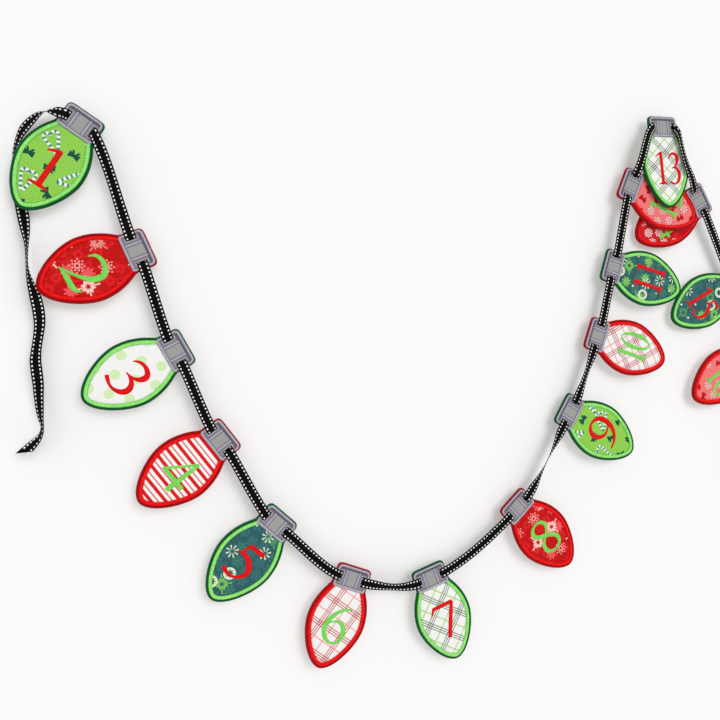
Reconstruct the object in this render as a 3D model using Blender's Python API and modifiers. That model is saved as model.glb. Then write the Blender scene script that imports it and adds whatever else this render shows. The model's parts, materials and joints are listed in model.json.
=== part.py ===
"""Advent calendar banner: 25 padded fabric light bulbs threaded on one ribbon.

The ribbon hangs in two swags between three hooks. Each bulb is a stitched pad with a cap
sewn on its front, and the ribbon runs in front of the cap's outer sides, through two slits
and behind the cap's centre. Units are metres. +X runs along the wall, +Y into it, +Z up,
and the origin is the middle of bulb 13's cap, at the centre hook.
"""
import math

import bmesh
import bpy
from mathutils import Matrix, Vector

# Banner: where each bulb's cap sits
BULB_COUNT = 25
MIDDLE = 13
SWAG_SPAN = 0.5825
SWAG_DROP = 0.437
PLACE_shares = {
    1: (-0.9967, 0.0),
    2: (-0.934, -0.248),
    3: (-0.892, -0.452),
    4: (-0.837, -0.641),
    5: (-0.762, -0.829),
    6: (-0.648, -0.972),
    7: (-0.513, -1.0),
    8: (-0.344, -0.872),
    9: (-0.23, -0.667),
    10: (-0.164, -0.492),
    11: (-0.1225, -0.3315),
    12: (-0.075, -0.1395),
    13: (0.0, 0.0),
    14: (0.072, -0.1795),
    15: (0.139, -0.3925),
    16: (0.1665, -0.5767),
    17: (0.2455, -0.7574),
    18: (0.375, -0.8954),
}
LEAN_DEG = {
    1: -37.7,
    2: -70.6,
    3: -65.7,
    4: -57.7,
    5: -47.1,
    6: -25.9,
    7: 14.8,
    8: 39.7,
    9: 55.4,
    10: 66.9,
    11: 69.4,
    12: 63.4,
    13: -2.0,
    14: -64.4,
    15: -67.0,
    16: -62.0,
    17: -53.0,
    18: -35.0,
}

# Bulb, measured across (half widths) and down from the middle of its slits
CAP_TOP = 0.0122
CAP_HALF = 0.0174
CAP_CORNER = 0.0042
NECK_DROP = 0.008
NECK_HALF = 0.0176
WIDEST_DROP = 0.0419
WIDEST_HALF = 0.0286
TIP_DROP = 0.087
SHOULDER_HANDLE_shares = ((0.445, 0.23), (1.0, 0.545))
TAPER_HANDLE_shares = ((1.0, 0.375), (0.455, 1.0))
SHOULDER_STEPS = 3
TAPER_STEPS = 5
CORNER_STEPS = 2
BODY_THICK = 0.0022
EDGE_ROUND = 0.001
PAD_TOP = 0.0106
PAD_INSET = 0.0024
PAD_SLOPE = 0.0011
PAD_RAISE = 0.0009
BORDER_WIDTH = 0.0021
BORDER_DIP = 0.0003
CROWN_share = 0.55
CROWN_RAISE = 0.0010

# Slits and ribbon
RIBBON_WIDTH = 0.0095
RIBBON_THICK = 0.00045
RIBBON_GAP = 0.0003
SLIT_NEAR = 0.0098
SLIT_CLEAR = 0.000775
SLIT_WIDTH = RIBBON_THICK + 2 * SLIT_CLEAR
SLIT_END_GAP = 0.00035
SLIT_HALF_LENGTH = RIBBON_WIDTH / 2 + SLIT_END_GAP

# Cap
CAP_EDGE = 0.002
CAP_GAP = 0.0003
CAP_FABRIC = 0.0005
CAP_RAISE = 0.0004
CAP_FOOT = 0.0101
CAP_FOOT_CORNER = 0.0012
FRAME_CREST = 0.0011
FRAME_WIDTH = 0.0023
BAR_NEAR = 0.0052
BAR_WIDTH = 0.002
BAR_HALF_LENGTH = 0.0066
BAR_SLOPE = 0.0005

# Depths in one bulb's own frame, negative towards the viewer
BODY_BACK = BODY_THICK / 2
BODY_FRONT = -BODY_BACK
CAP_BACK = BODY_FRONT - CAP_GAP
CAP_FRONT = CAP_BACK - CAP_FABRIC
CAP_CREST = CAP_FRONT - CAP_RAISE
RIBBON_BEHIND = BODY_BACK + RIBBON_GAP + RIBBON_THICK / 2
RIBBON_AHEAD = CAP_CREST - RIBBON_GAP - RIBBON_THICK / 2

# How bulbs that cross lie over each other at the centre hook
LAYER_GAP = 0.0005
LAYER = BODY_THICK + PAD_RAISE + LAYER_GAP
DEPTH_shares = {14: 0.5, 15: 1.1, 16: 0.5}
TIP_OUT_shares = {12: 0.5, 13: 2.1, 14: -1.0}

# The ribbon's way through a slit: half slit widths from its middle, then the share of the
# way forward from the ribbon behind to the ribbon in front
THREAD_shares = ((-1.6, 0.0), (-0.45, 0.02), (0.25, 0.73), (0.75, 0.9), (1.7, 1.0))
SPAN_STEPS = 8
SPAN_HANDLE_share = 0.33
CHORD_FOLLOW_share = 0.8
SAG_FOLLOW_shares = {5: 0.35, 7: 0.3, 8: 0.55}
SPAN_TWIST_DEG = {
    1: 20.0,
    6: 55.0,
    8: 72.0,
    9: 42.0,
    17: -42.0,
    19: -55.0,
    24: -20.0,
}
TWIST_END_share = 0.12

# The ribbon beside bulb 13, in front of its shoulders: right, back and up from the middle
# of its cap, and the turn about its own length in degrees
HOOK_ROUTES = {
    12: (
        (-0.0376, -0.0052, -0.0468, 0.0),
        (-0.0346, -0.0063, -0.0399, 0.0),
        (-0.0319, -0.0068, -0.0329, 0.0),
        (-0.0290, -0.0067, -0.0257, 0.0),
        (-0.0259, -0.0061, -0.0184, 0.0),
        (-0.0224, -0.0053, -0.0112, 0.0),
        (-0.0187, -0.0043, -0.0052, 0.0),
    ),
    13: (
        (0.0162, -0.0043, -0.0050, 0.0),
        (0.0175, -0.0050, -0.0105, 0.0),
        (0.0182, -0.0058, -0.0172, 0.0),
        (0.0189, -0.0065, -0.0246, 0.0),
        (0.0201, -0.0071, -0.0321, 0.0),
        (0.0221, -0.0076, -0.0407, 0.0),
        (0.0253, -0.0075, -0.0492, 0.0),
        (0.0294, -0.0061, -0.0568, 0.0),
    ),
}

# Free end of the ribbon, hanging from bulb 1: right, back and up from the middle of that
# bulb's cap, and the turn about its own length in degrees
TAIL_ROUTE = (
    (-0.0148, -0.0038, 0.0086, -5.0),
    (-0.0190, -0.0045, 0.0093, -32.0),
    (-0.0226, -0.0042, 0.0099, -54.0),
    (-0.0256, -0.0039, 0.0094, -69.0),
    (-0.0284, -0.0035, 0.0084, -58.0),
    (-0.0321, -0.0028, 0.0066, -44.0),
    (-0.0378, -0.0010, 0.0026, -30.0),
    (-0.0440, 0.0014, -0.0028, -27.0),
    (-0.0489, 0.0036, -0.0088, -33.0),
    (-0.0542, 0.0058, -0.0196, -40.0),
    (-0.0560, 0.0068, -0.0300, -42.0),
    (-0.0561, 0.0069, -0.0400, -38.0),
    (-0.0551, 0.0065, -0.0500, -25.0),
    (-0.0536, 0.0058, -0.0600, -10.0),
    (-0.0521, 0.0050, -0.0716, 12.0),
    (-0.0513, 0.0042, -0.0852, 50.0),
    (-0.0511, 0.0035, -0.0978, 82.0),
    (-0.0517, 0.0028, -0.1099, 92.0),
    (-0.0518, 0.0022, -0.1198, 88.0),
    (-0.0506, 0.0019, -0.1297, 70.0),
    (-0.0488, 0.0016, -0.1372, 48.0),
    (-0.0474, 0.0014, -0.1447, 26.0),
    (-0.0463, 0.0012, -0.1534, 8.0),
    (-0.0461, 0.0010, -0.1645, -12.0),
    (-0.0477, 0.0008, -0.1743, -24.0),
    (-0.0503, 0.0004, -0.1864, -25.0),
    (-0.0518, 0.0000, -0.1961, -12.0),
    (-0.0517, -0.0002, -0.2060, -8.0),
    (-0.0514, -0.0004, -0.2159, -15.0),
    (-0.0518, -0.0004, -0.2258, -28.0),
    (-0.0520, -0.0006, -0.2369, -40.0),
    (-0.0517, -0.0010, -0.2455, -54.0),
    (-0.0511, -0.0014, -0.2525, -66.0),
    (-0.0528, -0.0020, -0.2592, -62.0),
    (-0.0584, -0.0018, -0.2650, -38.0),
    (-0.0669, -0.0006, -0.2722, -22.0),
)
TAIL_STEP = 0.0085
TAIL_STUB = 0.014
STUB_STEPS = 4
TAIL_GAP = 0.0005
TAIL_CUT = 0.006

# Edges that turn more than this stay crisp
SHARP_DEG = 35

COLOURS = {
    "lime": (0.27, 0.66, 0.09),
    "red": (0.62, 0.02, 0.02),
    "white": (0.82, 0.82, 0.8),
    "teal": (0.03, 0.13, 0.13),
    "rose": (0.85, 0.16, 0.16),
    "cap": (0.4, 0.39, 0.42),
    "ribbon": (0.012, 0.012, 0.013),
}
FACES = (
    "lime", "red", "white", "white", "teal", "white", "white", "red", "lime", "white",
    "teal", "rose", "white", "red", "teal", "rose", "white", "white", "lime", "red",
    "white", "white", "teal", "rose", "white",
)


def clear_scene():
    for item in list(bpy.data.objects):
        bpy.data.objects.remove(item, do_unlink=True)


def material(name, colour):
    made = bpy.data.materials.new(name)
    made.use_nodes = True
    shader = made.node_tree.nodes["Principled BSDF"]
    shader.inputs["Base Color"].default_value = (*colour, 1)
    shader.inputs["Roughness"].default_value = 0.8
    shader.inputs["Metallic"].default_value = 0
    return made


def add_object(name, mesh, place, colour, collection):
    """An object with its own material, on a mesh that it may share."""
    item = bpy.data.objects.new(name, mesh)
    collection.objects.link(item)
    item.matrix_world = place
    if not mesh.materials:
        mesh.materials.append(None)
    item.material_slots[0].link = "OBJECT"
    item.material_slots[0].material = material(name, colour)
    return item


def bezier(start, near, far, end, steps):
    """Points of a cubic curve after its start."""
    points = []
    for step in range(1, steps + 1):
        t = step / steps
        s = 1 - t
        mix = (s**3, 3 * s * s * t, 3 * s * t * t, t**3)
        points.append(sum((Vector(p) * w for p, w in zip((start, near, far, end), mix)), Vector((0, 0))))
    return points


def between(start, end, shares):
    """The point at these shares of the way across and down from start to end."""
    return Vector(start) + Vector(
        ((end[0] - start[0]) * shares[0], (end[1] - start[1]) * shares[1])
    )


def corner(centre, radius, first, last, steps):
    """An arc's points, with angles in degrees from across towards down."""
    angles = [math.radians(first + (last - first) * i / steps) for i in range(steps + 1)]
    return [Vector((centre[0] + radius * math.cos(a), centre[1] + radius * math.sin(a))) for a in angles]


def mirrored(half):
    """A closed outline from its right half, which starts at the top and ends at the foot."""
    left = [Vector((-p.x, p.y)) for p in reversed(half) if p.x > 0]
    return half + left


def bulb_outline():
    """The whole outline, across and down from the middle of the slits."""
    centre = (CAP_HALF - CAP_CORNER, CAP_CORNER - CAP_TOP)
    half = corner(centre, CAP_CORNER, -90, 0, CORNER_STEPS)
    neck = (NECK_HALF, NECK_DROP)
    widest = (WIDEST_HALF, WIDEST_DROP)
    tip = (0, TIP_DROP)
    half.append(Vector(neck))
    near, far = (between(neck, widest, s) for s in SHOULDER_HANDLE_shares)
    half += bezier(neck, near, far, widest, SHOULDER_STEPS)
    near = Vector((WIDEST_HALF * TAPER_HANDLE_shares[0][0], between(widest, tip, TAPER_HANDLE_shares[0]).y))
    far = Vector((WIDEST_HALF * TAPER_HANDLE_shares[1][0], TIP_DROP))
    half += bezier(widest, near, far, tip, TAPER_STEPS)
    return mirrored(half)


def inset(points, distance):
    """A closed outline moved inwards by the same distance all round."""
    moved = []
    for i, point in enumerate(points):
        before = (point - points[i - 1]).normalized()
        after = (points[(i + 1) % len(points)] - point).normalized()
        normal = Vector((-before.y - after.y, before.x + after.x)).normalized()
        square = Vector((-before.y, before.x))
        moved.append(point + normal * distance / normal.dot(square))
    return moved


def pad_outline():
    """The raised face: the outline below the cap, inside its stitched edge."""
    inner = inset(bulb_outline(), PAD_INSET)
    half = [p for p in inner if p.x > 0 and p.y > PAD_TOP]
    half.sort(key=lambda p: p.y)
    above = max((p for p in inner if p.x > 0 and p.y <= PAD_TOP), key=lambda p: p.y)
    share = (PAD_TOP - above.y) / (half[0].y - above.y)
    start = above.lerp(half[0], share)
    foot = max(inner, key=lambda p: p.y)
    return mirrored([start] + half + [Vector((0, foot.y))])


def slit(side):
    """A slit's four corners. Side is 1 on the right and -1 on the left."""
    near, far = side * SLIT_NEAR, side * (SLIT_NEAR + SLIT_WIDTH)
    top, foot = -SLIT_HALF_LENGTH, SLIT_HALF_LENGTH
    return [Vector(p) for p in ((near, top), (far, top), (far, foot), (near, foot))]


def ring(bm, points, depth):
    """Vertices of a closed outline at one depth. Down becomes -Z."""
    return [bm.verts.new((p.x, depth, -p.y)) for p in points]


def skin(bm, first, second):
    """Faces between two rings with as many points."""
    for i in range(len(first)):
        j = (i + 1) % len(first)
        bm.faces.new((first[i], first[j], second[j], second[i]))


def fill(bm, rings):
    """A flat face inside the first ring and round the others."""
    edges = []
    for points in rings:
        for i, vertex in enumerate(points):
            after = points[(i + 1) % len(points)]
            edges.append(bm.edges.get((vertex, after)) or bm.edges.new((vertex, after)))
    bmesh.ops.triangle_fill(bm, use_beauty=True, edges=edges)


def finish_mesh(bm, name):
    bmesh.ops.recalc_face_normals(bm, faces=bm.faces)
    mesh = bpy.data.meshes.new(name)
    bm.to_mesh(mesh)
    bm.free()
    mesh.shade_smooth()
    mesh.set_sharp_from_angle(angle=math.radians(SHARP_DEG))
    return mesh


def bulb_mesh():
    """Backing, padding and face as one stitched pad with two slits."""
    bm = bmesh.new()
    outline = bulb_outline()
    back = ring(bm, outline, BODY_BACK)
    side = ring(bm, outline, BODY_FRONT + EDGE_ROUND)
    front = ring(bm, inset(outline, EDGE_ROUND), BODY_FRONT)
    skin(bm, back, side)
    skin(bm, side, front)
    holes_front, holes_back = [], []
    for sign in (1, -1):
        holes_front.append(ring(bm, slit(sign), BODY_FRONT))
        holes_back.append(ring(bm, slit(sign), BODY_BACK))
        skin(bm, holes_front[-1], holes_back[-1])
    pad = pad_outline()
    foot = ring(bm, pad, BODY_FRONT)
    crest = ring(bm, inset(pad, PAD_SLOPE), BODY_FRONT - PAD_RAISE)
    dip_line = inset(pad, PAD_SLOPE + BORDER_WIDTH)
    dip = ring(bm, dip_line, BODY_FRONT - PAD_RAISE + BORDER_DIP)
    middle = Vector((0, (PAD_TOP + TIP_DROP) / 2))
    crown = ring(bm, [middle.lerp(p, CROWN_share) for p in dip_line], BODY_FRONT - CROWN_RAISE)
    for outer, inner in ((foot, crest), (crest, dip), (dip, crown)):
        skin(bm, outer, inner)
    fill(bm, [crown])
    fill(bm, [front, foot] + holes_front)
    fill(bm, [back] + holes_back)
    return finish_mesh(bm, "bulb")


def cap_outline():
    half_width = CAP_HALF - CAP_EDGE
    radius = CAP_CORNER - CAP_EDGE / 2
    top = CAP_EDGE - CAP_TOP
    half = corner((half_width - radius, top + radius), radius, -90, 0, CORNER_STEPS)
    centre = (half_width - CAP_FOOT_CORNER, CAP_FOOT - CAP_FOOT_CORNER)
    half += corner(centre, CAP_FOOT_CORNER, 0, 90, 1)
    return mirrored(half)


def box_outline(near, far, half_length):
    return [Vector(p) for p in ((near, -half_length), (far, -half_length), (far, half_length), (near, half_length))]


def cap_mesh():
    """Grey fabric with a raised stitched frame, two raised bars and two slits."""
    bm = bmesh.new()
    outline = cap_outline()
    back = ring(bm, outline, CAP_BACK)
    side = ring(bm, outline, CAP_FRONT)
    crest = ring(bm, inset(outline, FRAME_CREST), CAP_CREST)
    inner = ring(bm, inset(outline, FRAME_WIDTH), CAP_FRONT)
    for outer, within in ((back, side), (side, crest), (crest, inner)):
        skin(bm, outer, within)
    holes_front, holes_back = [], []
    for sign in (1, -1):
        holes_front.append(ring(bm, slit(sign), CAP_FRONT))
        holes_back.append(ring(bm, slit(sign), CAP_BACK))
        skin(bm, holes_front[-1], holes_back[-1])
        near, far = sign * BAR_NEAR, sign * (BAR_NEAR + BAR_WIDTH)
        slope = sign * BAR_SLOPE
        foot = ring(bm, box_outline(near, far, BAR_HALF_LENGTH), CAP_FRONT)
        ridge_line = box_outline(near + slope, far - slope, BAR_HALF_LENGTH - BAR_SLOPE)
        ridge = ring(bm, ridge_line, CAP_CREST)
        skin(bm, foot, ridge)
        fill(bm, [ridge])
        holes_front.append(foot)
    fill(bm, [inner] + holes_front)
    fill(bm, [back] + holes_back)
    return finish_mesh(bm, "cap")


def bulb_place(number):
    """A bulb's matrix: the middle of its slits, its lean and how far its tip stands out."""
    source, side = (number, 1) if number in PLACE_shares else (BULB_COUNT + 1 - number, -1)
    across, down = PLACE_shares[source]
    depth = DEPTH_shares.get(number, 0) * LAYER
    lean = math.radians(LEAN_DEG[source] * side)
    out = math.asin(TIP_OUT_shares.get(number, 0) * LAYER / TIP_DROP)
    spot = Vector((across * side * SWAG_SPAN, depth, down * SWAG_DROP))
    return Matrix.Translation(spot) @ Matrix.Rotation(-lean, 4, "Y") @ Matrix.Rotation(-out, 4, "X")


def thread_sections(place, side):
    """The ribbon's sections from behind the cap out through the slit on one side."""
    half = SLIT_WIDTH / 2
    middle = SLIT_NEAR + half
    width = place.to_3x3() @ Vector((0, 0, 1))
    sections = []
    for across, forward in THREAD_shares:
        depth = RIBBON_BEHIND + (RIBBON_AHEAD - RIBBON_BEHIND) * forward
        sections.append((place @ Vector((side * (middle + across * half), depth, 0)), width))
    return sections


def square_to(width, way, twist):
    """The width's direction at right angles to the way along, turned about it."""
    flat = (width - way * width.dot(way)).normalized()
    return Matrix.Rotation(twist, 3, way) @ flat


def span_sections(number, leave, reach):
    """The ribbon between two caps: it leaves one slit and reaches the next."""
    start, end = leave[0], reach[0]
    chord = end - start
    handle = chord.length * SPAN_HANDLE_share
    follow = SAG_FOLLOW_shares.get(min(number, BULB_COUNT - number), CHORD_FOLLOW_share)
    turned = []
    for place in (bulb_place(number), bulb_place(number + 1)):
        along = place.to_3x3() @ Vector((1, 0, 0))
        turned.append(along.lerp(chord.normalized(), follow).normalized())
    near, far = start + turned[0] * handle, end - turned[1] * handle
    twist = math.radians(SPAN_TWIST_DEG.get(number, 0))
    sections = []
    for step in range(1, SPAN_STEPS):
        t = step / SPAN_STEPS
        s = 1 - t
        inner = min(max((t - TWIST_END_share) / (1 - 2 * TWIST_END_share), 0), 1)
        hump = math.sin(math.pi * inner) ** 2
        spot = start * s**3 + near * 3 * s * s * t + far * 3 * s * t * t + end * t**3
        way = (near - start) * s * s + (far - near) * 2 * s * t + (end - far) * t * t
        width = leave[1].lerp(reach[1], t)
        sections.append((spot, square_to(width, way.normalized(), twist * hump)))
    return sections


def smooth_point(route, position):
    """A point on the smooth curve through a route's points, and the way along it."""
    index = min(int(position), len(route) - 2)
    t = position - index
    before = route[max(index - 1, 0)]
    first, second = route[index], route[index + 1]
    after = route[min(index + 2, len(route) - 1)]
    spot, way = [], []
    for a, b, c, d in zip(before, first, second, after):
        slope, reach = (c - a) / 2, (d - b) / 2
        rise = c - b
        square = 3 * rise - 2 * slope - reach
        cube = slope + reach - 2 * rise
        spot.append(b + slope * t + square * t * t + cube * t**3)
        way.append(slope + 2 * square * t + 3 * cube * t * t)
    return spot, Vector(way[:3]).normalized()


def hook_sections(number, leave, reach):
    """The ribbon between two caps along one of the routes beside the centre hook."""
    hook = bulb_place(MIDDLE).translation
    route = [(*(hook + Vector(stop[:3])), stop[3]) for stop in HOOK_ROUTES[number]]
    route = [(*leave[0], 0.0)] + route + [(*reach[0], 0.0)]
    sections = []
    for index in range(1, len(route) - 1):
        spot, way = smooth_point(route, index)
        width = leave[1].lerp(reach[1], index / (len(route) - 1))
        sections.append((Vector(spot[:3]), square_to(width, way, math.radians(spot[3]))))
    return sections


def tail_curve(side):
    """The free end at one side, finely sampled: length so far, spot, width and way."""
    number = 1 if side < 0 else BULB_COUNT
    place = bulb_place(number)
    leave = thread_sections(place, side)[-1][0]
    hook = place.translation
    route = [(leave.x, leave.y, leave.z, 0.0)]
    for across, back, up, turn in TAIL_ROUTE:
        route.append((hook.x - side * across, hook.y + back, hook.z + up, turn))
    samples, length, last = [], 0.0, None
    fine = 12
    for i in range((len(route) - 1) * fine + 1):
        spot, way = smooth_point(route, i / fine)
        point = Vector(spot[:3])
        length += (point - last).length if last else 0.0
        last = point
        flat = way.cross(Vector((0, 1, 0))) * side
        samples.append((length, point, square_to(flat, way, math.radians(spot[3]) * side), way))
    return samples


def tail_section(samples, length):
    """The tail's section at one length along it."""
    index = next((i for i, s in enumerate(samples) if s[0] >= length), len(samples) - 1)
    index = max(index, 1)
    low, high = samples[index - 1], samples[index]
    t = (length - low[0]) / (high[0] - low[0])
    return low[1].lerp(high[1], t), low[2].lerp(high[2], t).normalized(), high[3]


def tail_sections(side):
    """The ribbon's stub at one end, and the free tail that goes on from it."""
    samples = tail_curve(side)
    total = samples[-1][0]
    stub = [tail_section(samples, TAIL_STUB * i / STUB_STEPS)[:2] for i in range(1, STUB_STEPS + 1)]
    start = TAIL_STUB + TAIL_GAP
    steps = round((total - start) / TAIL_STEP)
    tail = [tail_section(samples, start + (total - start) * i / steps)[:2] for i in range(steps)]
    last, width, way = tail_section(samples, total)
    return stub, tail, (last, width, way)


def strip_mesh(name, sections, cut=None):
    """A flat strip through its sections. A cut is a last section that runs aslant."""
    half = RIBBON_WIDTH / 2
    bm = bmesh.new()
    pairs = [(spot - width * half, spot + width * half) for spot, width in sections]
    if cut:
        spot, width, way = cut
        pairs.append((spot - width * half - way * TAIL_CUT, spot + width * half + way * TAIL_CUT))
    rows = [[bm.verts.new(p) for p in pair] for pair in pairs]
    for first, second in zip(rows, rows[1:]):
        bm.faces.new((first[0], second[0], second[1], first[1]))
    return finish_mesh(bm, name)


def ribbon_object(name, mesh, collection):
    item = add_object(name, mesh, Matrix.Identity(4), COLOURS["ribbon"], collection)
    shell = item.modifiers.new("thickness", "SOLIDIFY")
    shell.thickness = RIBBON_THICK
    shell.offset = 0
    return item


def threaded_sections():
    """The whole ribbon from its left stub through every cap to its right stub."""
    sections = []
    for number in range(1, BULB_COUNT + 1):
        place = bulb_place(number)
        entering = thread_sections(place, -1)[::-1]
        if number > 1:
            between_caps = hook_sections if number - 1 in HOOK_ROUTES else span_sections
            sections += between_caps(number - 1, sections[-1], entering[0])
        sections += entering + thread_sections(place, 1)
    return sections


def build():
    clear_scene()
    collection = bpy.data.collections.new("advent_calendar_banner")
    bpy.context.scene.collection.children.link(collection)
    bulb, cap = bulb_mesh(), cap_mesh()
    for number in range(1, BULB_COUNT + 1):
        place = bulb_place(number)
        face = COLOURS[FACES[number - 1]]
        add_object(f"bulb_{number:02d}", bulb, place, face, collection)
        add_object(f"cap_{number:02d}", cap, place, COLOURS["cap"], collection)
    left_stub, left_tail, left_cut = tail_sections(-1)
    right_stub, right_tail, right_cut = tail_sections(1)
    sections = left_stub[::-1] + threaded_sections() + right_stub
    ribbon_object("ribbon", strip_mesh("ribbon", sections), collection)
    ribbon_object("ribbon_tail_left", strip_mesh("ribbon_tail_left", left_tail, left_cut), collection)
    ribbon_object("ribbon_tail_right", strip_mesh("ribbon_tail_right", right_tail, right_cut), collection)


build()
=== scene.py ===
"""The advent calendar banner as it looks: stitched cotton bulbs on a saddle-stitched ribbon.

Lengths are in metres, and the routes and strokes in millimetres. In a bulb's own frame,
across runs along its ribbon, down runs from the middle of its slits to its tip, and depth
runs from the viewer to the wall.
"""

import json
import math

import bmesh
import bpy
import numpy as np
from mathutils import Matrix, Vector, noise
from mathutils.geometry import delaunay_2d_cdt


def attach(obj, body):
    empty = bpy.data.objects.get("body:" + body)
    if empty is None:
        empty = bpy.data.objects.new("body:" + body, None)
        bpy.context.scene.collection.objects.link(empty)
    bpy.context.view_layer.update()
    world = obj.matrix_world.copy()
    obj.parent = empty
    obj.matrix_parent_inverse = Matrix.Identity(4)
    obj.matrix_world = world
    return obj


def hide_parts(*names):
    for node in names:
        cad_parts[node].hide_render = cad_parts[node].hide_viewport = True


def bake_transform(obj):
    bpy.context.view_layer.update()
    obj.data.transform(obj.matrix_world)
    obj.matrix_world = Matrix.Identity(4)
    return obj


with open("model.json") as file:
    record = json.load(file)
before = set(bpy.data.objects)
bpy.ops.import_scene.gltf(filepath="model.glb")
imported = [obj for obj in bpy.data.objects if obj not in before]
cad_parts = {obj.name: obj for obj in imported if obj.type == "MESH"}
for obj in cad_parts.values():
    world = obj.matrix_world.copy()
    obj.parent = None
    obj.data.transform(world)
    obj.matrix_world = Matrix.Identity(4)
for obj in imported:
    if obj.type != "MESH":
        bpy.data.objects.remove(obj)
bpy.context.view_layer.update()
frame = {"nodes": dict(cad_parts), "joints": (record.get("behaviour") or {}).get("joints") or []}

MM = 0.001

# The banner's own sizes, as the CAD part has them
BULB_COUNT = 25
MIDDLE = 13
CAP_TOP = 0.0122
CAP_HALF = 0.0174
CAP_CORNER = 0.0042
NECK = (0.0176, 0.008)
WIDEST = (0.0286, 0.0419)
TIP = (0.0, 0.087)
SHOULDER = (NECK, (0.0225, 0.0158), (0.0286, 0.0265), WIDEST)
TAPER = (WIDEST, (0.0286, 0.0588), (0.013, 0.087), TIP)
BODY_BACK = 0.0011
SLIT_NEAR = 0.0098
SLIT_FAR = 0.0118
SLIT_HALF_LENGTH = 0.0051
CAP_BACK = -0.0014
CAP_FRONT = -0.0019
RIBBON_WIDTH = 0.0095
RIBBON_THICK = 0.00045
RIBBON_BEHIND = 0.001625
RIBBON_AHEAD = -0.002825
THREAD_shares = ((-1.6, 0.0), (-0.45, 0.02), (0.25, 0.73), (0.75, 0.9), (1.7, 1.0))
SPAN_STEPS = 8
SPAN_HANDLE_share = 0.33
CHORD_FOLLOW_share = 0.8
SAG_FOLLOW_shares = {5: 0.35, 6: 0.3, 7: 0.3, 8: 0.55}
TWIST_END_share = 0.12
SPAN_TWIST_DEG = {1: 20, 6: 33, 8: 56, 9: 30, 17: -42, 19: -33, 24: -20}
MIDDLE_TWIST_DEG = {12: 8, 13: -30}
MIDDLE_TWIST_POWER = 0.6

# The ribbon's routes beside the middle bulb, from its hinge, and that of a free end, from the
# end bulb's hinge: across, back and up in millimetres, and for the free end a turn in degrees
MIDDLE_ROUTES = {
    12: ((-37.6, -5.2, -46.8), (-34.6, -6.3, -39.9), (-31.9, -6.8, -32.9), (-29, -6.7, -25.7),
         (-25.9, -6.1, -18.4), (-22.4, -5.3, -11.2), (-18.7, -4.3, -5.2)),
    13: ((16.2, -4.3, -5), (17.5, -5, -10.5), (18.2, -5.8, -17.2), (18.9, -6.5, -24.6),
         (20.1, -7.1, -32.1), (22.1, -7.6, -40.7), (25.3, -7.5, -49.2), (29.4, -6.1, -56.8)),
}
TAIL_ROUTE = (
    (-14.8, -3.8, 8.6, -5), (-19, -4.5, 9.3, -32), (-22.6, -4.2, 9.9, -54), (-25.6, -3.9, 9.4, -69),
    (-28.4, -3.5, 8.4, -58), (-32.1, -2.8, 6.6, -44), (-37.8, -1, 2.6, -30), (-44, 1.4, -2.8, -27),
    (-48.6, 3.6, -8.8, -42), (-53.4, 5.8, -19.6, -56), (-55, 6.8, -30, -60), (-55.3, 6.9, -40, -52),
    (-54.7, 6.5, -50, -34), (-53.6, 5.8, -60, -10), (-52.1, 5, -71.6, 12), (-51.3, 4.2, -85.2, 50),
    (-51.1, 3.5, -97.8, 82), (-51.7, 2.8, -109.9, 92), (-51.8, 2.2, -119.8, 88),
    (-50.6, 1.9, -129.7, 70), (-48.8, 1.6, -137.2, 48), (-47.4, 1.4, -144.7, 26),
    (-46.3, 1.2, -153.4, 8), (-46.1, 1, -164.5, -12), (-47.7, 0.8, -174.3, -24),
    (-50.3, 0.4, -186.4, -25), (-51.8, 0, -196.1, -12), (-51.7, -0.2, -206, -8),
    (-51.4, -0.4, -215.9, -15), (-51.8, -0.4, -225.8, -28), (-52, -0.6, -236.9, -40),
    (-51.7, -1, -245.5, -54), (-51.1, -1.4, -252.5, -66), (-52.8, -2, -259.2, -62),
    (-58.4, -1.8, -265, -38), (-66.9, -0.6, -272.2, -22),
)
TAIL_STUB = 0.014
TAIL_CUT = 0.006
TAIL_FINE = 12

# Looks of the padding and stitching
OUTLINE_STEP = 0.001
PAD_GRID = 0.0015
GRID_ROW_share = 0.87
GRID_CLEAR_share = 0.6
PAD_INSET = 0.0012
PUFF_FRONT = 0.0012
PUFF_RISE = 0.0006
PUFF_FROM = 0.0057
PUFF_REACH = 0.0055
CROWN_RISE = 0.0002
CROWN_REACH = 0.022
CAP_ZONE = 0.0098
CAP_ZONE_REACH = 0.003
PUCKER_DEPTH = 0.00022
PUCKER_PITCH = 0.0045
PUCKER_MIDDLE = 0.0075
PUCKER_SPREAD = 0.0022
PUCKER_REST_share = 0.25
DENT_DEPTH = 0.00018
DENT_PITCH = 0.018
RIPPLE_FROM = 0.005
RIPPLE_REACH = 0.002
BORDER_INSET = 0.004
BORDER_WIDTH = 0.0035
BORDER_START = 0.0092
BORDER_RISE = 0.0009
BORDER_WANDER = 0.00012
NUMERAL_RISE = 0.0004
NUMERAL_LAYER = 0.00006
STROKE_FINE = 8
STROKE_STEP = 0.0007
STROKE_THINNEST = 0.0005

# A satin band's section: shares of its half width and of its height
BAND_SECTION_shares = (
    (-1, 0), (-0.9, 0.5), (-0.62, 0.85), (-0.2, 1), (0.2, 1), (0.62, 0.85), (0.9, 0.5), (1, 0),
)
BAND_ROOT = 0.00025
BAND_ROOT_share = 0.85
BAND_RISE_share = 0.36

# The stitched edge's section in millimetres: how far inside the outline, and the depth
EDGE_SECTION = (
    (2.2, 1.1), (1.5, 1.3), (0.7, 1.25), (0.1, 0.85), (-0.12, 0.1), (0.0, -0.7), (0.45, -1.35),
    (1.05, -1.68), (1.7, -1.62), (2.3, -1.2), (2.0, -0.4),
)
EDGE_WANDER = 0.00011

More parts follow.
